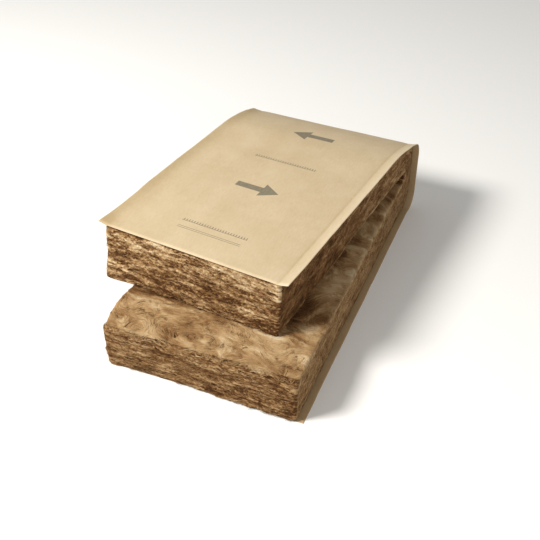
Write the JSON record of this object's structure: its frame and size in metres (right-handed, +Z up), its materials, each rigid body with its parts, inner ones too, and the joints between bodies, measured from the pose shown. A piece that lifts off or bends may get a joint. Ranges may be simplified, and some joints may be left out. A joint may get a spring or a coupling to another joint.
{
  "type": "folded insulation batt",
  "caption": "Glass-wool insulation batt with a kraft paper facing and stapling flanges, folded in half with the facing outside.",
  "frame": {"origin": "on the floor, at the centre of the footprint's box", "axes": "+Y along the batt towards the fold, +Z up, +X across the batt"},
  "size_m": [0.7442, 1.1838, 0.3173],
  "materials": {
    "glass_wool": "loose matted fibre, matte",
    "kraft_paper": "plain kraft paper, matte"
  },
  "bodies": {
    "root": {"wool_blanket": "glass_wool", "kraft_facing": "kraft_paper"}
  },
  "joints": []
}
